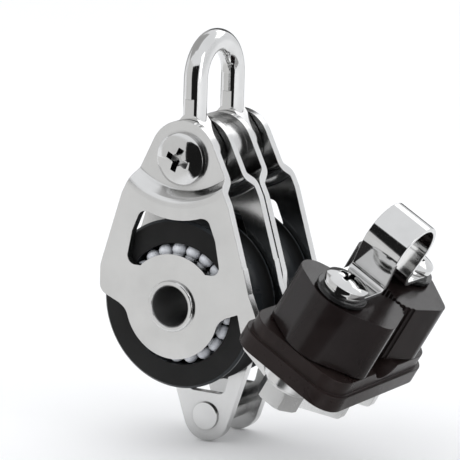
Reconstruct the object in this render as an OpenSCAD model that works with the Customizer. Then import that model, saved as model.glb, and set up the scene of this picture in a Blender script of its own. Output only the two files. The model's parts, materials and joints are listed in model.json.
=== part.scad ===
// Double sheave block with a shackle head, a becket and a cam cleat.
// Origin: middle of the hollow axle. +X towards the cleat, +Y from the front cheek to the
// rear cheek, +Z up to the shackle.

/* [Sheaves] */
// Outside radius of each sheave
sheave_r = 17; // [16:0.5:17]
// Width of each sheave
sheave_w = 9.7; // [9.2:0.1:9.8]
// Radius of the line groove's round section
groove_r = 3.9; // [3:0.1:3.9]
// Distance from the axle to the centre of the groove's round section
groove_centre_r = 17.3; // [17.3:0.1:17.8]

/* [Bearings] */
// Radius of each bearing ball
ball_r = 1.45; // [1.3:0.05:1.45]
// Radius of the circle that the ball centres run on
ball_path_r = 10.7; // [10.65:0.05:10.75]
// Balls in one row
ball_count = 21; // [16:1:21]
// Distance of each ball row from the middle of its sheave
ball_row_y = 3.1; // [3:0.1:3.2]

/* [Cheeks] */
// Thickness of each stamped cheek
cheek_t = 1.75; // [1.6:0.05:1.8]
// Clear width of each sheave bay
bay_w = 10.45; // [10.4:0.05:10.6]
// Gap between the two inner cheeks
centre_gap = 0.5; // [0.4:0.1:0.6]
// Sideways step of each cheek between the sheave and the head bolt
joggle = 2.8; // [2.7:0.05:2.9]
// Height of the head bolt above the axle
head_z = 29.1; // [28.5:0.1:30]
// Radius of each cheek's rounded top
head_r = 7.5; // [7:0.1:8]
// Radius of the round lobe at the axle
lobe_r = 10.7; // [10.5:0.1:11]
// Half of the widest width of a cheek
wing_x = 16.8; // [16:0.1:17]

/* [Hollow axle] */
// Radius of the through bore
axle_bore_r = 4; // [3.5:0.1:4.1]
// Outside radius of the axle tube
axle_r = 4.6; // [4.5:0.05:4.7]
// Radius of the rolled flange at each end
axle_flange_r = 5.15; // [5:0.05:5.6]

/* [Shackle] */
// Radius of the round bar
bar_r = 2.35; // [2:0.05:2.4]
// Height of the middle of the bow above the axle
bow_z = 44.1; // [43:0.1:48]
// Radius of the head bolt's shank
head_bolt_r = 3; // [2.5:0.1:3.2]

/* [Becket] */
// Depth of the becket pin below the axle
becket_z = 25.2; // [24.5:0.1:27]
// Radius of the lug round the becket pin
becket_lug_r = 5.2; // [4.6:0.1:5.5]

/* [Cam cleat] */
// Fall of the cleat's line of pull below the horizontal, in degrees
cleat_angle = 30; // [28:1:31]
// Distance between the two cleat screws
screw_spacing = 27; // [26.6:0.1:27.4]
// Radius of the cleat screws' shanks
cleat_screw_r = 2.4; // [2:0.1:2.5]
// Height of the fairlead arch's middle above the axle, square to the line of pull
arch_n = 38; // [37.5:0.1:39]

/* [Hidden] */
$fn = 96;

// Running clearance of shafts in their holes, clearance of seated pins, the gap beside moving
// parts, and how far a cutting shape runs past a face
run = 0.06;
seat = 0.02;
side_gap = 0.3;
cut = 1;

// How far a tangent edge sinks into the circles that it joins, so that the two cross cleanly
sink = 0.0005;

// A hair's breadth that keeps two round faces from meeting in a line
hair = 0.01;

// Cheek positions across the block
inner_y = centre_gap / 2;
bay_y0 = inner_y + cheek_t;
bay_y = bay_y0 + bay_w / 2;
outer_y = bay_y0 + bay_w;
block_y = outer_y + cheek_t;
head_gap_w = bay_w - 2 * joggle;
head_outer_y = block_y - joggle;
head_inner_y = inner_y + joggle;

// Joggle: concentric bend lines about a point above the head bolt
joggle_z = head_z + 9.4;
joggle_in_r = 15.35;
joggle_rise = 55;
bend_r = 0.6;
joggle_run = (cheek_t + 2 * bend_r) * sin(joggle_rise)
    + (joggle - (cheek_t + 2 * bend_r) * (1 - cos(joggle_rise))) / tan(joggle_rise);
joggle_out_r = joggle_in_r + joggle_run;

// Cheek outline
flank = [7.9, 19.6, 4.6];
wing = [wing_x - 4.6, 5.6, 4.6];
wing_tip = [wing_x - 2.3, 2.5, 2.3];
wing_root = [11, 0.3, 1.6];
fillet_r = 3.2;
fillet_turn = -17;
fillet = (lobe_r + fillet_r) * [cos(fillet_turn), sin(fillet_turn)];

// Windows in the cheeks
window_in_r = 10.35;
window_top = [6.7, 16.65, 1.6];
window_side = [7.2, 13.4, 2.4];
window_low = [8.75, 8.95, 1.75];
window_sag_r = 18.5;
window_sag_z = 35.75;
lug_window_in_r = 11.6;

// Becket lugs
lug_root_r = 13.3;
becket_pin_r = 2.1;
becket_head_r = 2.85;
becket_head_t = 0.55;
becket_spacer_wall = 0.5;

// Bearing races
race_r = 9.9;
race_groove_r = ball_r + 0.05;
sheave_bore_r = ball_path_r + ball_r + 0.05;
sheave_rib_r = 11.6;
sheave_rib_w = 2.6;

// Shackle eye
eye_r = 6.2;
eye_w = head_gap_w - 2 * side_gap;
flat_reach = 11.5;

// Head bolt, washer and nut
head_washer_t = 0.9;
head_nut_t = 3.2;
head_nut_af = 10;
head_washer_w = 3.2;
head_spacer_r = 6.3;
centre_washer_w = 3;
bolt_head_r = 5.2;
bolt_head_h = 2.6;
bolt_crown = 1.3;
bolt_end = 0.6;
recess_turn = -23;

// Cleat, measured along the line of pull (u), across the block (y) and up its cam axis (n)
cleat_y = -bay_y;
cleat_u = 31;
cleat_in_u = 18.5;
cleat_out_u = 43.2;
cleat_half_w = 19.3;
screw_y = screw_spacing / 2;
foot_n = 9.2;
foot_bend_r = 0.8;
foot_root_n = foot_n - cheek_t - foot_bend_r;
foot_inset = 1.5;
foot_in_u = cleat_in_u + foot_inset;
foot_out_u = cleat_out_u - foot_inset;
base_step_n = 12.6;
base_top_n = 15.6;
base_corner_r = 5;
channel_r = 5.5;
channel_n = 19;

// Cams, about the screw axis: [along u, away from the middle of the cleat, radius]
cam_low_n = 16;
cam_top_n = 28.2;
cam_drum = [0.3, -1.9, 7.4];
cam_heel = [-6.2, -2.2, 4.2];
jaw_r = 3.3;
jaw_gap = 0.25;
cam_jaw = [6.3, jaw_gap + jaw_r - screw_y, jaw_r];
cam_nose = [8.3, -3.4, 3.4];
tooth_r = 0.45;
tooth_pitch = 1.15;
tooth_start = 0.6;
tooth_turn = 20;
bushing_r = 3.4;
spring_r = 4.6;
spring_wire_r = 0.45;
spring_turns = 3;

// Caps, strap, screws and nuts on the cleat
cap_r = 5.2;
cap_n = 28.5;
cap_t = 0.9;
strap_t = 0.9;
strap_w = 8.4;
strap_n = cap_n + cap_t;
arch_r = 6;
arch_lean = 105;
strap_fillet_r = 1.5;
cleat_head_r = 4.4;
cleat_head_h = 2.5;
cleat_crown = 1.2;
screw_end = 0.8;
cleat_washer_r = 4.6;
washer_t = 0.9;
washer_n = foot_n - cheek_t - washer_t;
cleat_nut_t = 4;
cleat_nut_af = 8;
nut_n = washer_n - cleat_nut_t;

// --- general helpers -------------------------------------------------------------------

function arc(cx, cy, r, a0, a1, n) =
    [for (i = [0 : n]) [cx + r * cos(a0 + (a1 - a0) * i / n), cy + r * sin(a0 + (a1 - a0) * i / n)]];

// The outer tangent from circle a to circle b, each [x, y, r], for an anticlockwise chain
function tangent(a, b) =
    let (d = [b[0] - a[0], b[1] - a[1]], turn = atan2(d[1], d[0]) - acos((a[2] - b[2]) / norm(d)))
    [[a[0] + a[2] * cos(turn), a[1] + a[2] * sin(turn)], [b[0] + b[2] * cos(turn), b[1] + b[2] * sin(turn)]];

// A convex shape wrapped round an anticlockwise chain of circles
module wrapped(circles) {
    n = len(circles);
    sunk = [for (c = circles) [c[0], c[1], c[2] - sink]];
    polygon([for (i = [0 : n - 1]) for (p = tangent(sunk[i], sunk[(i + 1) % n])) p]);
    for (c = circles) translate([c[0], c[1]]) circle(r = c[2]);
}

// The same circles on the left side, to close a symmetric chain
function mirrored(circles) =
    [for (i = [len(circles) - 1 : -1 : 0]) [-circles[i][0], circles[i][1], circles[i][2]]];

// Flat shape drawn in X and Z, standing from y0 to y0 + t
module slab(y0, t) {
    translate([0, y0 + t, 0]) rotate([90, 0, 0]) linear_extrude(t) children();
}

// Solid turned about a line along Y, profile drawn as [radius, y]
module turned(x = 0, z = 0) {
    translate([x, 0, z]) rotate([-90, 0, 0]) rotate_extrude() children();
}

// Pin or hole along Y
module rod(r, y0, y1, x = 0, z = 0) {
    translate([x, y0, z]) rotate([-90, 0, 0]) cylinder(r = r, h = y1 - y0);
}

// Cross recess for a driver, sunk to depth at z = 0 and opening upwards
module cross_recess(size, depth) {
    for (a = [0, 90]) rotate(a) translate([-size / 2, -size / 8, 0]) cube([size, size / 4, depth + cut]);
    cylinder(r1 = size / 8, r2 = size / 4, h = depth);
    translate([0, 0, depth]) cylinder(r = size / 4, h = cut);
}

// Domed screw head standing on z = 0, its cross recess turned by turn
module domed_head(r, h, crown, turn = 0) {
    rim_h = h * 0.45;
    recess_h = h * 0.6;
    sphere_r = (r * r + crown * crown) / (2 * crown);
    difference() {
        union() {
            cylinder(r = r, h = rim_h);
            intersection() {
                translate([0, 0, rim_h + crown - sphere_r]) sphere(r = sphere_r);
                cylinder(r = r, h = h + crown);
            }
        }
        translate([0, 0, rim_h + crown - recess_h]) rotate(turn) cross_recess(r * 0.95, recess_h);
    }
}

module hex_nut(across_flats, h, bore_r) {
    difference() {
        intersection() {
            cylinder(r = across_flats / sqrt(3), h = h, $fn = 6);
            cylinder(r1 = across_flats * 0.6 + h, r2 = across_flats * 0.53, h = h);
        }
        translate([0, 0, -cut]) cylinder(r = bore_r, h = h + 2 * cut);
    }
}

// Front pieces are made from the rear ones by mirroring across the middle of the block
module front() {
    mirror([0, 1, 0]) children();
}

// --- cheeks ----------------------------------------------------------------------------

module cheek_window() {
    half = [window_low, window_side, window_top];
    difference() {
        wrapped(concat(half, mirrored(half)));
        circle(r = window_in_r);
        translate([0, window_sag_z]) circle(r = window_sag_r);
    }
}

module wing_fillet(side) {
    reach = [wing_tip[0] - wing_root[0], wing_tip[1] - wing_root[1]];
    slope = atan2(reach[1], reach[0]) - asin((wing_tip[2] - wing_root[2]) / norm(reach));
    wing_touch = fillet + fillet_r * [-sin(slope), cos(slope)];
    lobe_touch = fillet * lobe_r / (lobe_r + fillet_r);
    lobe_inside = [8, 0];
    wing_inside = [11, 1];
    mirror([side < 0 ? 1 : 0, 0]) difference() {
        polygon([lobe_inside, lobe_touch, fillet, wing_touch, wing_inside]);
        translate(fillet) circle(r = fillet_r + 2 * sink);
    }
}

module cheek_outline() {
    half = [wing_root, wing_tip, wing, flank];
    wrapped(concat(half, [[0, head_z, head_r]], mirrored(half)));
    circle(r = lobe_r);
    for (side = [-1, 1]) wing_fillet(side);
}

module becket_outline() {
    wrapped([[0, -becket_z, becket_lug_r], [0, 0, lug_root_r]]);
}

module becket_window() {
    low = [2.9, -18.8, 1.5];
    high = [4.6, -13, 1.2];
    difference() {
        wrapped(concat([low, high], mirrored([low, high])));
        circle(r = lug_window_in_r);
    }
}

// The formed sheet that a cheek is cut from, flat at y0 and stepped to y0 + joggle at the head
module joggled_sheet(y0) {
    in_r = bend_r;
    out_r = bend_r + cheek_t;
    far_r = 70;
    front_face = concat(
        [[0, joggle]],
        arc(joggle_in_r, joggle - in_r, in_r, 90, 90 - joggle_rise, 5),
        arc(joggle_out_r, out_r, out_r, -90 - joggle_rise, -90, 5),
        [[far_r, 0]]
    );
    rear_face = concat(
        [[far_r, cheek_t]],
        arc(joggle_out_r, out_r, in_r, -90, -90 - joggle_rise, 5),
        arc(joggle_in_r, joggle - in_r, out_r, 90 - joggle_rise, 90, 5),
        [[0, joggle + cheek_t]]
    );
    translate([0, y0, 0]) turned(z = joggle_z) polygon(concat(front_face, rear_face));
}

// Cheek with its base at y0 and its head at y0 + joggle
module formed_cheek(y0, becket) {
    difference() {
        intersection() {
            joggled_sheet(y0);
            slab(y0 - cut, cheek_t + joggle + 2 * cut) union() {
                cheek_outline();
                if (becket) becket_outline();
            }
        }
        slab(y0 - cut, cheek_t + joggle + 2 * cut) cheek_window();
        if (becket) slab(y0 - cut, cheek_t + 2 * cut) becket_window();
        if (becket) rod(becket_pin_r + seat, y0 - cut, y0 + cheek_t + cut, 0, -becket_z);
        rod(axle_r + seat, y0 - cut, y0 + cheek_t + cut);
        rod(head_bolt_r + seat, y0, y0 + cheek_t + joggle + cut, 0, head_z);
    }
}

// Places a shape drawn in [u, y, n] about the middle of the front bay
module on_cleat() {
    translate([0, cleat_y, 0]) rotate([0, cleat_angle, 0]) children();
}

// Both sides of the cleat, for pieces drawn on its +y side
module both_sides() {
    children();
    mirror([0, 1, 0]) children();
}

// A point [X, Z] of the block read in the cleat's own frame, [u, n]
function cleat_frame(x, z) =
    [x * cos(cleat_angle) - z * sin(cleat_angle), x * sin(cleat_angle) + z * cos(cleat_angle)];

// Side plate of a cleat arm in [u, n], from the right wing out to the end of the foot
module arm_outline() {
    tip = [foot_out_u - 1 + sink, foot_root_n - 1.8, 1];
    difference() {
        union() {
            polygon([
                cleat_frame(11, 1), cleat_frame(15, 0.1), [17.6, 2.7], [22.1, 1.7], [29, -0.2],
                [tip[0], tip[1]], [foot_out_u, tip[1]], [foot_out_u, foot_root_n], [foot_in_u, foot_root_n],
                [17, 9.3], cleat_frame(17.3, 4.5), cleat_frame(wing_x - 0.8, 9.4), cleat_frame(11, 9)
            ]);
            wrapped([[30, 0.7, 1.4], tip]);
        }
        wrapped([[24.2, 3.9, 0.8], [29.2, 2.3, 0.9], [33.9, 4.1, 0.7]]);
    }
}

// Section of the bent foot in [y, n]: from the top of the side plate round the bend and outwards
module foot_section() {
    plate_y = bay_w / 2;
    bend_y = plate_y + cheek_t + foot_bend_r;
    polygon(concat(
        [[cleat_half_w, foot_n]],
        arc(bend_y, foot_root_n, foot_bend_r + cheek_t, 90, 180, 8),
        arc(bend_y, foot_root_n, foot_bend_r, 180, 90, 8),
        [[cleat_half_w, foot_n - cheek_t]]
    ));
}

// Plan of the foot in [u, y], tapering from the bend to a boss round the screw
module foot_plan() {
    root_y = bay_w / 2 + cheek_t + foot_bend_r;
    boss_r = 5.4;
    boss = [cleat_u, screw_y, boss_r - sink];
    polygon(concat(
        [[foot_in_u, 0], [foot_out_u, 0]],
        tangent([foot_out_u, root_y, 0], boss),
        tangent(boss, [foot_in_u, root_y, 0])
    ));
    translate([cleat_u, screw_y]) circle(r = boss_r);
}

// Arm and foot on the +y side of the front bay, drawn about the middle of that bay
module cleat_arm() {
    rotate([0, cleat_angle, 0]) union() {
        slab(bay_w / 2, cheek_t) arm_outline();
        difference() {
            intersection() {
                rotate([90, 0, 90]) linear_extrude(2 * cleat_out_u) foot_section();
                linear_extrude(2 * foot_n) foot_plan();
            }
            translate([cleat_u, screw_y, foot_n - cheek_t - cut])
                cylinder(r = cleat_screw_r + seat, h = cheek_t + 2 * cut);
        }
    }
}

module front_cheek() {
    color("silver") {
        formed_cheek(-block_y, false);
        translate([0, cleat_y, 0]) mirror([0, 1, 0]) cleat_arm();
    }
}

module front_inner_cheek() {
    color("silver") {
        front() formed_cheek(inner_y, false);
        translate([0, cleat_y, 0]) cleat_arm();
    }
}

module rear_inner_cheek() {
    color("silver") formed_cheek(inner_y, true);
}

module rear_cheek() {
    color("silver") front() formed_cheek(-block_y, true);
}

module centre_washer() {
    color("dimgray") turned() translate([axle_r + seat, -inner_y]) square([centre_washer_w, centre_gap]);
}

// --- axle, sheaves and bearings ----------------------------------------------------------

module hollow_axle() {
    flange_t = 0.8;
    end_y = block_y + flange_t;
    round_r = 0.4;
    mouth = 0.3;
    half = concat(
        [[axle_r, block_y], [axle_flange_r, block_y]],
        arc(axle_flange_r - round_r, end_y - round_r, round_r, 0, 90, 5),
        [[axle_bore_r + mouth, end_y], [axle_bore_r, end_y - mouth]]
    );
    far_half = [for (i = [len(half) - 1 : -1 : 0]) [half[i][0], -half[i][1]]];
    color("gainsboro") turned() polygon(concat(half, far_half));
}

module sheave() {
    rim = 0.5;
    rib_root = 0.3;
    half_w = sheave_w / 2;
    color([0.12, 0.12, 0.13]) translate([0, bay_y, 0]) turned() {
        difference() {
            polygon([
                [sheave_bore_r, -half_w], [sheave_r - rim, -half_w], [sheave_r, rim - half_w],
                [sheave_r, half_w - rim], [sheave_r - rim, half_w], [sheave_bore_r, half_w]
            ]);
            translate([groove_centre_r, 0]) circle(r = groove_r);
        }
        translate([sheave_rib_r, -sheave_rib_w / 2])
            square([sheave_bore_r + rib_root - sheave_rib_r, sheave_rib_w]);
    }
}

module bearing_race() {
    color([0.2, 0.2, 0.21]) translate([0, bay_y, 0]) turned() difference() {
        translate([axle_r + seat, -bay_w / 2]) square([race_r - axle_r - seat, bay_w]);
        for (side = [-1, 1]) translate([ball_path_r, side * ball_row_y]) circle(r = race_groove_r);
    }
}

module bearing_balls() {
    color("whitesmoke") for (side = [-1, 1]) for (i = [0 : ball_count - 1]) {
        a = 360 * (i + 0.25 + side / 4) / ball_count;
        translate([ball_path_r * cos(a), bay_y + side * ball_row_y, ball_path_r * sin(a)]) sphere(r = ball_r);
    }
}

module front_sheave() {
    front() sheave();
}

module rear_sheave() {
    sheave();
}

module front_bearing_race() {
    front() bearing_race();
}

module rear_bearing_race() {
    bearing_race();
}

module front_bearing_balls() {
    front() bearing_balls();
}

module rear_bearing_balls() {
    bearing_balls();
}

// --- head and becket -----------------------------------------------------------------------

module shackle_leg() {
    shoulder_z = head_z + flat_reach;
    slab(bay_y - eye_w / 2, eye_w) wrapped([[0, head_z, eye_r], [0, head_z + eye_r, bar_r]]);
    intersection() {
        translate([0, bay_y, head_z + eye_r]) cylinder(r = bar_r, h = flat_reach - eye_r);
        translate([-bar_r, bay_y - eye_w / 2, head_z]) cube([2 * bar_r, eye_w, 2 * flat_reach]);
    }
    translate([0, bay_y, shoulder_z]) cylinder(r = bar_r, h = bow_z - shoulder_z);
}

module shackle_bow() {
    reach = bay_y + 2 * bar_r;
    color("gainsboro") difference() {
        union() {
            intersection() {
                translate([0, 0, bow_z]) rotate([0, 90, 0]) rotate_extrude()
                    translate([bay_y, 0]) circle(r = bar_r);
                translate([-reach, -reach, bow_z]) cube(2 * reach);
            }
            shackle_leg();
            front() shackle_leg();
        }
        rod(head_bolt_r + run, -reach, reach, 0, head_z);
    }
}

module head_bolt() {
    color("gainsboro") {
        translate([0, -head_outer_y, head_z]) rotate([90, 0, 0])
            domed_head(bolt_head_r, bolt_head_h, bolt_crown, recess_turn);
        rod(head_bolt_r, -head_outer_y, head_outer_y + head_washer_t + head_nut_t + bolt_end, 0, head_z);
    }
}

module head_spacer() {
    color("silver") turned(z = head_z)
        translate([head_bolt_r + seat, -head_inner_y])
            square([head_spacer_r - head_bolt_r - seat, 2 * head_inner_y]);
}

module head_washer() {
    color("silver") turned(z = head_z)
        translate([head_bolt_r + seat, head_outer_y]) square([head_washer_w, head_washer_t]);
}

module head_nut() {
    color("silver") translate([0, head_outer_y + head_washer_t, head_z]) rotate([-90, 0, 0])
        hex_nut(head_nut_af, head_nut_t, head_bolt_r + seat);
}

module becket_pin() {
    color("silver") {
        rod(becket_head_r, inner_y - becket_head_t, inner_y, 0, -becket_z);
        rod(becket_pin_r, inner_y, block_y, 0, -becket_z);
        rod(becket_head_r, block_y, block_y + becket_head_t, 0, -becket_z);
    }
}

module becket_spacer() {
    color("silver") turned(z = -becket_z)
        translate([becket_pin_r + seat, bay_y0]) square([becket_spacer_wall, bay_w]);
}

// --- cam cleat -------------------------------------------------------------------------------

// Corner circles of a rounded rectangle in [u, y]
function corners(u0, u1, y, r) =
    [[u0 + r, r - y, r], [u1 - r, r - y, r], [u1 - r, y - r, r], [u0 + r, y - r, r]];

module cleat_base() {
    step = 0.7;
    color([0.1, 0.1, 0.11]) on_cleat() difference() {
        union() {
            translate([0, 0, foot_n]) linear_extrude(base_step_n - foot_n)
                wrapped(corners(cleat_in_u, cleat_out_u, cleat_half_w, base_corner_r));
            translate([0, 0, base_step_n]) linear_extrude(base_top_n - base_step_n)
                wrapped(corners(cleat_in_u + step, cleat_out_u - step, cleat_half_w - step, base_corner_r));
        }
        translate([0, 0, channel_n]) rotate([0, 90, 0]) cylinder(r = channel_r, h = 2 * cleat_out_u);
        both_sides() translate([cleat_u, screw_y, 0]) cylinder(r = cleat_screw_r + seat, h = cam_top_n);
    }
}

// A point on the gripping face of a cam: along the flat from the heel, then round the jaw
function tooth_point(i) =
    let (flat = tangent(cam_heel, cam_jaw), along = (flat[1] - flat[0]) / norm(flat[1] - flat[0]))
    i < 0 ? flat[1] + (tooth_pitch * i + tooth_start) * along
    : let (a = atan2(flat[1][1] - cam_jaw[1], flat[1][0] - cam_jaw[0]) + (i + 0.5) * tooth_turn)
      [cam_jaw[0] + cam_jaw[2] * cos(a), cam_jaw[1] + cam_jaw[2] * sin(a)];

module cam() {
    recess_r = spring_r + spring_wire_r + side_gap;
    recess_n = cam_low_n + spring_turns * 2 * spring_wire_r + 2 * side_gap;
    color([0.11, 0.11, 0.12]) translate([cleat_u, screw_y, 0]) difference() {
        translate([0, 0, cam_low_n]) linear_extrude(cam_top_n - cam_low_n) difference() {
            wrapped([cam_jaw, cam_nose, cam_drum, cam_heel]);
            for (i = [-4 : 4]) translate(tooth_point(i)) circle(r = tooth_r);
        }
        translate([0, 0, cam_low_n - cut]) cylinder(r = bushing_r + run, h = cam_top_n - cam_low_n + 2 * cut);
        translate([0, 0, cam_low_n - cut]) cylinder(r = recess_r, h = recess_n - cam_low_n + cut);
    }
}

module front_cam() {
    on_cleat() mirror([0, 1, 0]) cam();
}

module rear_cam() {
    on_cleat() cam();
}

module cam_bushings() {
    color("darkgray") on_cleat() both_sides() translate([cleat_u, screw_y, base_top_n]) difference() {
        cylinder(r = bushing_r, h = cap_n - base_top_n);
        translate([0, 0, -cut]) cylinder(r = cleat_screw_r + seat, h = cap_n - base_top_n + 2 * cut);
    }
}

module cam_springs() {
    color("gray") on_cleat() both_sides() for (i = [0 : spring_turns - 1])
        translate([cleat_u, screw_y, base_top_n + (2 * i + 1) * spring_wire_r])
            rotate_extrude() translate([spring_r, 0]) circle(r = spring_wire_r - hair);
}

module cam_caps() {
    color([0.11, 0.11, 0.12]) on_cleat() both_sides() translate([cleat_u, screw_y, cap_n]) difference() {
        cylinder(r = cap_r, h = cap_t);
        translate([0, 0, -cut]) cylinder(r = cleat_screw_r + seat, h = cap_t + 2 * cut);
    }
}

// Line of the strap from the +y foot to the top of the arch, moved out by offset, in [y, n]
function strap_half(offset) =
    let (
        line_n = strap_n + strap_t / 2,
        rise = arch_n - line_n - strap_fillet_r * (1 - cos(arch_lean)) + arch_r * cos(arch_lean),
        leg = rise / sin(arch_lean),
        foot_y = arch_r * sin(arch_lean) + leg * cos(arch_lean) + strap_fillet_r * sin(arch_lean)
    )
    concat(
        [[screw_y + strap_w, line_n + offset]],
        arc(foot_y, line_n + strap_fillet_r, strap_fillet_r - offset, 270, 270 - arch_lean, 6),
        arc(0, arch_n, arch_r + offset, 90 - arch_lean, 90, 12)
    );

function reversed(points) = [for (i = [len(points) - 1 : -1 : 0]) points[i]];
function flipped(points) = [for (p = points) [-p[0], p[1]]];

module fairlead_strap() {
    outer = strap_half(strap_t / 2);
    inner = strap_half(-strap_t / 2);
    color("gainsboro") on_cleat() difference() {
        intersection() {
            translate([cleat_u - strap_w / 2, 0, 0]) rotate([90, 0, 90]) linear_extrude(strap_w)
                polygon(concat(outer, reversed(flipped(outer)), flipped(inner), reversed(inner)));
            linear_extrude(2 * arch_n) wrapped([
                [cleat_u, -screw_y, strap_w / 2 + hair], [cleat_u, screw_y, strap_w / 2 + hair]
            ]);
        }
        both_sides() translate([cleat_u, screw_y, strap_n - cut])
            cylinder(r = cleat_screw_r + seat, h = strap_t + 2 * cut);
    }
}

module cleat_screws() {
    head_n = strap_n + strap_t;
    end_n = nut_n - screw_end;
    color("gainsboro") on_cleat() both_sides() translate([cleat_u, screw_y, 0]) {
        translate([0, 0, head_n]) domed_head(cleat_head_r, cleat_head_h, cleat_crown);
        translate([0, 0, end_n]) cylinder(r = cleat_screw_r, h = head_n - end_n);
    }
}

module cleat_washers() {
    color("silver") on_cleat() both_sides() translate([cleat_u, screw_y, washer_n]) difference() {
        cylinder(r = cleat_washer_r, h = washer_t);
        translate([0, 0, -cut]) cylinder(r = cleat_screw_r + seat, h = washer_t + 2 * cut);
    }
}

module cleat_nuts() {
    color("silver") on_cleat() both_sides() translate([cleat_u, screw_y, washer_n]) rotate([180, 0, 0])
        hex_nut(cleat_nut_af, cleat_nut_t, cleat_screw_r + seat);
}

front_cheek();
front_inner_cheek();
rear_inner_cheek();
rear_cheek();
centre_washer();
hollow_axle();
front_sheave();
rear_sheave();
front_bearing_race();
rear_bearing_race();
front_bearing_balls();
rear_bearing_balls();
shackle_bow();
head_bolt();
head_spacer();
head_washer();
head_nut();
becket_pin();
becket_spacer();
cleat_base();
front_cam();
rear_cam();
cam_bushings();
cam_springs();
cam_caps();
fairlead_strap();
cleat_screws();
cleat_washers();
cleat_nuts();
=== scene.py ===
"""Looks of the double sheave block with its shackle, becket and cam cleat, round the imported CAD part."""
import json
import math

import bpy
from mathutils import Matrix, Vector


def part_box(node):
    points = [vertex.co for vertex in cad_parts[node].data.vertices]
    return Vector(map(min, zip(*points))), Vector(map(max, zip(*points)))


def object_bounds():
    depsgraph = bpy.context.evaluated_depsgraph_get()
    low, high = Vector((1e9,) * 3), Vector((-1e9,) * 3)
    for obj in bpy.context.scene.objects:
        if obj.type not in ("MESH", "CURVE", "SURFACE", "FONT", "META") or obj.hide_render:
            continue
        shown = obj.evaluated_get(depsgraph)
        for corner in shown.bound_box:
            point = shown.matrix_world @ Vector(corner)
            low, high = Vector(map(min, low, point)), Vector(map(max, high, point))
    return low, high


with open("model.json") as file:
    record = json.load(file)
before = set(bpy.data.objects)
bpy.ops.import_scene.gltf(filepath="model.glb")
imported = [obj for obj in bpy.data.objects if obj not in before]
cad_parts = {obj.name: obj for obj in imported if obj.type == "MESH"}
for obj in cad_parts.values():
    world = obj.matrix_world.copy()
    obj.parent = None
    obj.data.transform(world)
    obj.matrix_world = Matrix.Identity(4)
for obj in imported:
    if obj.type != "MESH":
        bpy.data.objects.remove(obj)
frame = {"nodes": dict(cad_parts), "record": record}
cad_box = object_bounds()

MM = 0.001
low = Vector(cad_box[0])
high = Vector(cad_box[1])
middle = (low + high) / 2

# Places on the CAD part that the materials need
axle_low, axle_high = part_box("hollow_axle")
flange_w = 1.15 * MM  # from the axle's bore to the rim of its rolled flange
bore_r = (axle_high.x - axle_low.x) / 2 - flange_w
bore_edge = (bore_r + 0.1 * MM, bore_r + 0.3 * MM)  # radii between which the bore's painted near-black shade ends
# plate_from_y, lug_top_z and lug_fade mark where the painted shade between plates is lifted
plate_from_y = 12.1 * MM  # between the outer cheeks' stepped-in heads (to 11.4 mm) and plates (from 12.45 mm)
lug_top_z = -16 * MM  # just over the sheaves' lowest point, with only the becket lugs' steel well below it
lug_fade = 4 * MM


# --- node materials ---------------------------------------------------------------------

noise_low, noise_high = 0.3, 0.7  # noise levels at which drift() reaches its two values
recess_sky = (0.25, 0.9)  # occlusion levels at which a recess's painted shade is at its darkest and at which the recess is fully bright
bay_sky = (0.3, 0.7)  # the same for the painted shade in the bays between plates
side_lean = (0.75, 0.98)  # Y shares of a normal that count as leaning away and as square to Y
occlusion_samples = 8
bevel_samples = 6


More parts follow.
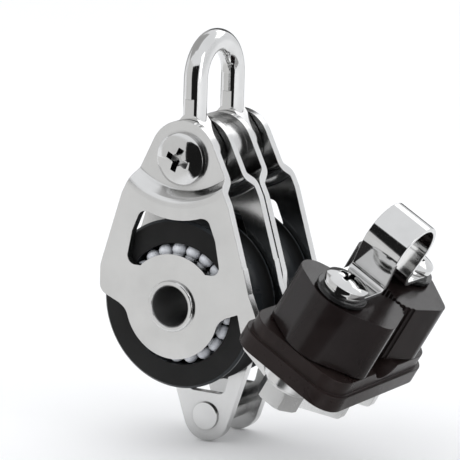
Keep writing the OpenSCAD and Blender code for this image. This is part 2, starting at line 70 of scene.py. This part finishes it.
class Shader:
    """A material under construction, with short calls to add and join its nodes."""

    def __init__(self, name, **values):
        self.material = bpy.data.materials.new(name)
        self.material.use_nodes = True
        self.tree = self.material.node_tree
        self.surface = self.tree.nodes["Principled BSDF"]
        for socket, value in values.items():
            self.surface.inputs[socket.replace("_", " ")].default_value = value
        self.place = self.add("ShaderNodeTexCoord").outputs["Object"]

    def feed(self, socket, value):
        """Links a node's output to a socket, or sets the socket to a plain value."""
        if isinstance(value, bpy.types.NodeSocket):
            self.tree.links.new(value, socket)
        else:
            socket.default_value = value

    def add(self, kind, settings=None, **inputs):
        node = self.tree.nodes.new(kind)
        for key, value in (settings or {}).items():
            setattr(node, key, value)
        for socket, value in inputs.items():
            self.feed(node.inputs[socket.replace("_", " ")], value)
        return node

    def join(self, value, socket):
        self.tree.links.new(value, self.surface.inputs[socket])

    def noise(self, size_mm, detail, stretch=(1, 1, 1), roughness=0.55):
        """Noise whose features are about size_mm across, drawn out along the axes with a small stretch."""
        scale = [share / (size_mm * MM) for share in stretch]
        spread = self.add("ShaderNodeMapping", Vector=self.place, Scale=scale)
        return self.add("ShaderNodeTexNoise", Vector=spread.outputs[0], Scale=1.0, Detail=detail,
                        Roughness=roughness).outputs["Fac"]

    def axle_radius(self):
        """Distance from the axle's line, which is the Y axis."""
        across = self.add("ShaderNodeVectorMath", {"operation": "MULTIPLY"})
        self.feed(across.inputs[0], self.place)
        self.feed(across.inputs[1], (1, 0, 1))
        length = self.add("ShaderNodeVectorMath", {"operation": "LENGTH"})
        self.feed(length.inputs[0], across.outputs[0])
        return length.outputs["Value"]

    def tool_rings(self, per_metre):
        """Noise that changes only with the distance from the axle, as a turning tool leaves it."""
        return self.add("ShaderNodeTexNoise", {"noise_dimensions": "1D"}, W=self.axle_radius(),
                        Scale=per_metre, Detail=2.0).outputs["Fac"]

    def ramp(self, value, start, end, low_value, high_value):
        return self.add("ShaderNodeMapRange", Value=value, From_Min=start, From_Max=end,
                        To_Min=low_value, To_Max=high_value).outputs["Result"]

    def drift(self, noise, low_value, high_value):
        """A value that wanders from low_value to high_value with a noise."""
        return self.ramp(noise, noise_low, noise_high, low_value, high_value)

    def blend(self, factor, first, second):
        node = self.add("ShaderNodeMix", {"data_type": "RGBA"})
        for socket, value in ((0, factor), (6, first), (7, second)):
            self.feed(node.inputs[socket], value)
        return node.outputs[2]

    def calc(self, operation, first, second=0.0):
        node = self.add("ShaderNodeMath", {"operation": operation})
        self.feed(node.inputs[0], first)
        self.feed(node.inputs[1], second)
        return node.outputs[0]

    def hollow_shade(self, reach_mm, depth):
        """Painted shade: 1 on open faces, falling to 1 - depth in recesses and seams narrower than reach_mm.
        """
        node = self.add("ShaderNodeAmbientOcclusion", {"samples": occlusion_samples, "only_local": True},
                        Distance=reach_mm * MM)
        return self.ramp(node.outputs["AO"], *recess_sky, 1 - depth, 1)

    def bay_shade(self, reach_mm, darkest):
        """Painted shade: 1 in the open, falling to darkest between plates that stand closer together than
        reach_mm.
        """
        node = self.add("ShaderNodeAmbientOcclusion", {"samples": occlusion_samples}, Distance=reach_mm * MM)
        return self.ramp(node.outputs["AO"], *bay_sky, darkest, 1)

    def open_faces(self, from_y, below_z, below_value):
        """1 on faces beyond from_y on either side that look outward, below_value under below_z, else 0; the
        painted bay shade is lifted by it.
        """
        normal = self.add("ShaderNodeSeparateXYZ",
                          Vector=self.add("ShaderNodeNewGeometry").outputs["Normal"])
        spot = self.add("ShaderNodeSeparateXYZ", Vector=self.place)
        same_way = self.calc("MULTIPLY", spot.outputs["Y"], normal.outputs["Y"])
        looks_out = self.calc("GREATER_THAN", same_way, 0.0)
        beyond = self.calc("GREATER_THAN", self.calc("ABSOLUTE", spot.outputs["Y"]), from_y)
        under = self.ramp(spot.outputs["Z"], below_z - lug_fade, below_z, below_value, 0)
        return self.calc("MAXIMUM", self.calc("MULTIPLY", looks_out, beyond), under)

    def off_sides(self):
        """0 on faces square to Y, rising to 1 on faces that lean away from them."""
        normal = self.add("ShaderNodeSeparateXYZ",
                          Vector=self.add("ShaderNodeNewGeometry").outputs["Normal"])
        return self.ramp(self.calc("ABSOLUTE", normal.outputs["Y"]), *side_lean, 1, 0)

    def with_painted_shade(self, colour, factor):
        """Painted shade: a colour darkened by a factor from 0 to 1."""
        return self.blend(factor, grey(0.02), colour)

    def bumps(self, *layers, edge_mm=0.0):
        """Stacks (height, strength, depth in mm) layers on one normal, with edges rounded by edge_mm."""
        normal = None
        if edge_mm:
            normal = self.add("ShaderNodeBevel", {"samples": bevel_samples}, Radius=edge_mm * MM).outputs[0]
        for height, strength, depth_mm in layers:
            bump = self.add("ShaderNodeBump", Height=height, Strength=strength, Distance=depth_mm * MM)
            if normal is not None:
                self.feed(bump.inputs["Normal"], normal)
            normal = bump.outputs[0]
        self.join(normal, "Normal")


def grey(level):
    return (level, level, level, 1)


def warm_grey(level):
    """The slightly yellow grey of stainless steel."""
    return (level, level, level - 0.005, 1)


def stamped_steel():
    """Tumbled sheet steel: satin, with cloudy patches, hair-fine drawing lines and a few small scuffs, and
    painted shade in its seams and in the bays between plates.
    """
    m = Shader("stamped_steel", Metallic=1.0)
    clouds = m.noise(9, 3)
    drawn = m.noise(0.35, 3, (1, 1, 0.04))
    scuffs = m.ramp(m.noise(1.6, 6, (1, 1, 0.35), 0.7), 0.63, 0.72, 0, 1)
    bright = m.blend(m.drift(clouds, 0, 1), warm_grey(0.66), warm_grey(0.73))
    # painted shade between the plates, lifted on outward faces and on the low lugs, and painted shade in
    # seams
    plate_shade = m.calc("MAXIMUM", m.bay_shade(14, 0.4), m.open_faces(plate_from_y, lug_top_z, 0.7))
    m.join(m.with_painted_shade(bright, m.calc("MULTIPLY", m.hollow_shade(0.8, 0.25), plate_shade)), "Base Color")
    satin = m.drift(clouds, 0.15, 0.21)
    satin = m.calc("ADD", satin, m.ramp(drawn, 0.35, 0.65, -0.02, 0.02))
    m.join(m.calc("ADD", satin, m.calc("MULTIPLY", scuffs, 0.07)), "Roughness")
    m.bumps((drawn, 0.25, 0.012), (m.noise(0.12, 2), 0.2, 0.008), (m.noise(14, 1), 0.3, 0.03), edge_mm=0.15)
    return m.material


def polished_steel():
    """Mirror polished bar and screw heads: faint polishing waves, handling marks, painted shade in recesses,
    and an axle bore painted near black as shade, also made non-metallic and rougher so that it stays dark.
    """
    m = Shader("polished_steel", Metallic=1.0)
    waves = m.noise(6, 2)
    marks = m.ramp(m.noise(0.9, 6, (1, 1, 1), 0.75), 0.64, 0.74, 0, 1)
    bright = m.blend(m.drift(waves, 0, 1), warm_grey(0.64), warm_grey(0.70))
    # painted shade: inside bore_edge the axle bore is painted near black, with its metal turned off and its
    # roughness raised
    bore = m.ramp(m.axle_radius(), *bore_edge, 1, 0)
    m.join(m.blend(bore, m.with_painted_shade(bright, m.hollow_shade(1.8, 0.92)), grey(0.05)), "Base Color")
    m.join(m.calc("SUBTRACT", 1.0, bore), "Metallic")
    polish = m.calc("ADD", m.drift(waves, 0.06, 0.09), m.calc("MULTIPLY", marks, 0.08))
    m.join(m.calc("ADD", polish, m.calc("MULTIPLY", bore, 0.3)), "Roughness")
    m.bumps((waves, 0.3, 0.03), (m.noise(0.15, 2), 0.12, 0.006))
    return m.material


def turned_steel():
    """Bright turned steel with fine tool rings, and painted shade between plates."""
    m = Shader("turned_steel", Metallic=1.0)
    rings = m.tool_rings(9000.0)
    clouds = m.noise(3, 3)
    bright = m.blend(clouds, warm_grey(0.58), warm_grey(0.68))
    m.join(m.with_painted_shade(bright, m.bay_shade(8, 0.7)), "Base Color")
    m.join(m.calc("ADD", m.drift(clouds, 0.14, 0.20), m.ramp(rings, 0.4, 0.6, 0, 0.08)), "Roughness")
    m.bumps((rings, 0.2, 0.006))
    return m.material


def moulded(name, dark, light, rough, grain_mm, rings=False, coat=0.0, groove=None):
    """Moulded or turned plastic: colour drift, fine grain, uneven gloss, rubbed patches, and a glossier
    groove whose lighter colour is a painted sheen.
    """
    m = Shader(name, Metallic=0.0, IOR=1.48, Specular_IOR_Level=0.22, Coat_Weight=coat, Coat_Roughness=0.12)
    cloud = m.noise(7, 4)
    rubbed = m.ramp(m.noise(2.2, 5, (1, 1, 1), 0.7), 0.58, 0.72, 0, 1)
    colour = m.blend(m.calc("ADD", m.drift(cloud, 0, 0.8), m.calc("MULTIPLY", rubbed, 0.2)), dark, light)
    satin = m.calc("SUBTRACT", m.drift(cloud, rough - 0.05, rough + 0.05), m.calc("MULTIPLY", rubbed, 0.08))
    # painted sheen: the groove faces get a lighter blue-grey colour in place of their reflections; their
    # lower roughness is real gloss
    if groove:
        groove_faces = m.off_sides()
        colour = m.blend(groove_faces, colour, groove)
        satin = m.calc("SUBTRACT", satin, m.calc("MULTIPLY", groove_faces, 0.2))
    m.join(colour, "Base Color")
    m.join(satin, "Roughness")
    layers = [(m.noise(grain_mm, 3), 0.35, 0.02), (m.noise(5, 2), 0.25, 0.04)]
    if rings:
        layers.append((m.tool_rings(4500.0), 0.35, 0.03))
    m.bumps(*layers)
    return m.material


def ball_white():
    """Ground bearing balls: cool off-white, with faint grey marks of running."""
    m = Shader("ball_white", Metallic=0.0, IOR=1.5)
    marks = m.ramp(m.noise(0.5, 5), 0.5, 0.75, 0, 1)
    m.join(m.blend(marks, (0.74, 0.76, 0.80, 1), (0.56, 0.58, 0.62, 1)), "Base Color")
    m.join(m.drift(m.noise(0.8, 3), 0.22, 0.32), "Roughness")
    m.bumps((m.noise(0.1, 2), 0.15, 0.005))
    return m.material


finishes = {
    "stamped_steel": stamped_steel(),
    "polished_steel": polished_steel(),
    "turned_steel": turned_steel(),
    # the sheave's groove colour is a painted sheen
    "sheave_black": moulded("sheave_black", grey(0.006), grey(0.013), 0.46, 0.14, rings=True,
                            groove=(0.026, 0.029, 0.032, 1)),
    "race_black": moulded("race_black", grey(0.010), grey(0.020), 0.36, 0.1, rings=True),
    "ball_white": ball_white(),
    "cleat_black": moulded("cleat_black", (0.011, 0.007, 0.0065, 1), (0.020, 0.0135, 0.0125, 1), 0.30, 0.16),
    "cam_black": moulded("cam_black", (0.008, 0.0055, 0.0055, 1), (0.015, 0.011, 0.0105, 1), 0.22, 0.2,
                         coat=0.06),
    "cap_black": moulded("cap_black", grey(0.008), grey(0.014), 0.20, 0.15, coat=0.2),
}
slots = {part["node"]: part["material_slot"] for part in frame["record"]["subparts"]}
for name, node in frame["nodes"].items():
    for entry in node.material_slots:
        entry.material = finishes[slots[name]]


# --- rounded edges on the CAD pieces ------------------------------------------------------

seam_gap = 0.03 * MM  # points of a CAD piece that lie closer together become one
flat_angle = math.radians(0.4)  # faces that meet at less become one
edge_angle = math.radians(28)  # edges that turn more are rounded
face_weight = 90


def seams_closed():
    """Node group that joins the faces of a CAD piece along its seams and removes its imported custom normals.
    """
    group = bpy.data.node_groups.new("seams_closed", "GeometryNodeTree")
    group.interface.new_socket("Geometry", in_out="INPUT", socket_type="NodeSocketGeometry")
    group.interface.new_socket("Geometry", in_out="OUTPUT", socket_type="NodeSocketGeometry")
    into = group.nodes.new("NodeGroupInput")
    merge = group.nodes.new("GeometryNodeMergeByDistance")
    merge.inputs["Distance"].default_value = seam_gap
    strip = group.nodes.new("GeometryNodeRemoveAttribute")
    strip.inputs["Name"].default_value = "custom_normal"
    out = group.nodes.new("NodeGroupOutput")
    for first, second in ((into, merge), (merge, strip), (strip, out)):
        group.links.new(first.outputs[0], second.inputs[0])
    return group


seams = seams_closed()


def soften(name, width_mm, segments):
    """Breaks the sharp edges of a CAD piece by width_mm, after joining its flat faces."""
    node = frame["nodes"][name]
    weld = node.modifiers.new("seams", "NODES")
    weld.node_group = seams
    flat = node.modifiers.new("flat", "DECIMATE")
    flat.decimate_type = "DISSOLVE"
    flat.angle_limit = flat_angle
    edge = node.modifiers.new("edge", "BEVEL")
    edge.width = width_mm * MM
    edge.segments = segments
    edge.limit_method = "ANGLE"
    edge.angle_limit = edge_angle
    edge.miter_outer = "MITER_ARC"
    shade = node.modifiers.new("shade", "WEIGHTED_NORMAL")
    shade.weight = face_weight


for name in ("cleat_base", "front_cam", "rear_cam"):
    soften(name, 0.3, 3)
for name in ("fairlead_strap", "cam_caps", "cleat_washers", "cleat_nuts", "head_nut", "head_washer",
             "becket_pin", "head_bolt", "cleat_screws", "head_spacer"):
    soften(name, 0.12, 2)


# --- studio -------------------------------------------------------------------------------

floor_z = low.z - 0.2 * MM
floor_flat_r = 0.35
floor_r = 3.0
floor_curve = 0.25  # height it gains with the square of the distance past its flat part


def sheet(name, material, corners):
    """A four-cornered sheet with (0, 0) to (1, 1) as its own coordinates."""
    mesh = bpy.data.meshes.new(name)
    mesh.from_pydata(corners, [], [(0, 1, 2, 3)])
    for corner, spot in zip(mesh.uv_layers.new(name="sheet").data, ((0, 0), (1, 0), (1, 1), (0, 1))):
        corner.uv = spot
    mesh.materials.append(material)
    piece = bpy.data.objects.new(name, mesh)
    bpy.context.scene.collection.objects.link(piece)
    return piece


def floor_material():
    m = Shader("floor", Roughness=0.9, Specular_IOR_Level=0.0)
    m.join(m.blend(m.noise(60, 3), grey(0.92), grey(0.95)), "Base Color")
    m.bumps((m.noise(0.8, 3), 0.08, 0.05))
    return m.material


def card_material(name, level, feather):
    """An evenly lit card that fades out over the given share of its width and height."""
    m = Shader(name, Base_Color=grey(0), Specular_IOR_Level=0.0, Emission_Strength=1.0)
    m.join(m.blend(m.noise(120, 2), grey(level), grey(level * 1.15)), "Emission Color")
    spot = m.add("ShaderNodeSeparateXYZ", Vector=m.add("ShaderNodeTexCoord").outputs["UV"])
    sides = [m.calc("PINGPONG", spot.outputs[axis], 0.5) for axis in ("X", "Y")]
    fades = [m.add("ShaderNodeMapRange", {"interpolation_type": "SMOOTHSTEP"}, Value=side, From_Max=feather)
             for side in sides]
    m.join(m.calc("MULTIPLY", fades[0].outputs["Result"], fades[1].outputs["Result"]), "Alpha")
    return m.material


def studio_floor(name, material, sides=96, steps=24):
    """A round floor, flat in the middle and curving gently up beyond, so that no side shows a horizon."""
    reach = floor_r - floor_flat_r
    section = [(r, floor_z + floor_curve * (r - floor_flat_r) ** 2)
               for r in (floor_flat_r + reach * step / steps for step in range(steps + 1))]
    turns = [2 * math.pi * side / sides for side in range(sides)]
    points = [(0, 0, floor_z)]
    for r, z in section:
        points += [(r * math.cos(turn), r * math.sin(turn), z) for turn in turns]
    faces = [(0, 1 + i, 1 + (i + 1) % sides) for i in range(sides)]
    for step in range(steps):
        inner = 1 + step * sides
        outer = inner + sides
        faces += [(inner + i, outer + i, outer + (i + 1) % sides, inner + (i + 1) % sides)
                  for i in range(sides)]
    mesh = bpy.data.meshes.new(name)
    mesh.from_pydata(points, [], faces)
    mesh.materials.append(material)
    mesh.shade_smooth()
    piece = bpy.data.objects.new(name, mesh)
    bpy.context.scene.collection.objects.link(piece)


studio_floor("floor", floor_material())


def facing(direction):
    """Rotation that points -Z along direction."""
    return Vector(direction).to_track_quat("-Z", "Y").to_matrix().to_4x4()


def outward(azimuth, elevation):
    """Direction away from the block in degrees, azimuth 0 in front of it and 90 on its cleat side."""
    turn = math.radians(azimuth)
    rise = math.radians(elevation)
    return Vector((math.sin(turn) * math.cos(rise), -math.cos(turn) * math.cos(rise), math.sin(rise)))


def around(azimuth, elevation, distance):
    """A point at a distance from the middle of the block."""
    return middle + distance * outward(azimuth, elevation)


def softbox(name, place, width, height, radiance, mirrored):
    """A rectangular lamp turned to the block, which polished faces mirror or not."""
    light = bpy.data.lights.new(name, "AREA")
    light.shape = "RECTANGLE"
    light.size = width
    light.size_y = height
    light.energy = radiance * math.pi * width * height
    lamp = bpy.data.objects.new(name, light)
    lamp.matrix_world = Matrix.Translation(place) @ facing(middle - place)
    lamp.visible_camera = False
    lamp.visible_glossy = mirrored
    bpy.context.scene.collection.objects.link(lamp)


def reflected(name, corners, level, feather):
    """A dark or grey card that only shows in reflections."""
    piece = sheet(name, card_material(name, level, feather), corners)
    piece.visible_camera = False
    piece.visible_shadow = False
    piece.visible_diffuse = False
    return piece


def card(name, place, width, height, level, feather=0.12):
    """A rectangular card at a place, turned to the middle of the block."""
    half_w = width / 2
    half_h = height / 2
    corners = [(-half_w, -half_h, 0), (half_w, -half_h, 0), (half_w, half_h, 0), (-half_w, half_h, 0)]
    piece = reflected(name, corners, level, feather)
    piece.matrix_world = Matrix.Translation(place) @ facing(middle - place)


def floor_card(name, azimuth, lift_mm, near, far, near_w, far_w, level, feather=0.12):
    """A card lying lift_mm above the object's lowest point, from near to far along an azimuth."""
    out = outward(azimuth, 0)
    turn = math.radians(azimuth)
    across = Vector((math.cos(turn), math.sin(turn), 0))
    origin = Vector((middle.x, middle.y, low.z + lift_mm * MM))
    corners = [origin + near * out - near_w / 2 * across, origin + near * out + near_w / 2 * across,
               origin + far * out + far_w / 2 * across, origin + far * out - far_w / 2 * across]
    reflected(name, corners, level, feather)


# Lamps: place (azimuth, elevation, distance), width, height, radiance, shown in reflections or not
softbox("key", around(-48, 38, 0.8), 0.7, 0.5, 0.8, False)
softbox("right", around(72, 22, 0.7), 0.22, 0.6, 1.8, True)
softbox("high", around(20, 47, 0.7), 0.34, 0.24, 1.15, False)
softbox("back", around(165, 38, 0.8), 0.6, 0.3, 0.9, True)
# Cards, which give the polished steel the dark and grey fields that it mirrors: size, level, soft edge
card("card_camera", around(18, 10, 0.28), 0.35, 0.26, 0.012, 0.05)
floor_card("card_floor_dark", 18, 0.5, 0.05, 0.33, 0.07, 0.42, 0.012, 0.03)
floor_card("card_floor_grey", -56, 0.4, 0.05, 0.40, 0.10, 0.80, 0.75)
floor_card("card_floor_cleat", 84, 0.3, 0.01, 0.16, 0.06, 0.16, 0.40)
card("card_back", around(203, 12, 0.34), 0.2, 0.3, 0.08)
card("card_far_left", around(-128, 8, 0.42), 0.44, 0.56, 0.42, 0.2)
card("card_left", around(-95, 52, 0.44), 0.46, 0.46, 0.42)
card("card_front", around(-37, 4, 0.36), 0.56, 0.46, 0.70)

world = bpy.data.worlds.new("studio")
world.use_nodes = True
world.node_tree.nodes["Background"].inputs["Color"].default_value = (0.97, 0.98, 1.0, 1)
world.node_tree.nodes["Background"].inputs["Strength"].default_value = 1.0
bpy.context.scene.world = world


# --- camera -------------------------------------------------------------------------------

# Fitted to the bore, flange, screw head, pin and outline points of the photo
camera_azimuth = 30.04
camera_elevation = 11.22
camera_roll = math.radians(1.65)
camera_distance = 0.7
camera_aim = Vector((2.16, 4.15, 12.65)) * MM
focal_length = 273.28
sensor_width = 36

back = outward(camera_azimuth, camera_elevation)
camera_turn = math.radians(camera_azimuth)
level_right = Vector((math.cos(camera_turn), math.sin(camera_turn), 0))
level_up = back.cross(level_right)
right = math.cos(camera_roll) * level_right + math.sin(camera_roll) * level_up
up = back.cross(right)
rotation = Matrix((right, up, back)).transposed().to_4x4()

lens = bpy.data.cameras.new("camera")
lens.sensor_width = sensor_width
lens.lens = focal_length
lens.clip_start = 0.05
camera = bpy.data.objects.new("camera", lens)
camera.matrix_world = Matrix.Translation(camera_aim + camera_distance * back) @ rotation
bpy.context.scene.collection.objects.link(camera)
bpy.context.scene.camera = camera
bpy.context.scene.view_settings.view_transform = "Standard"
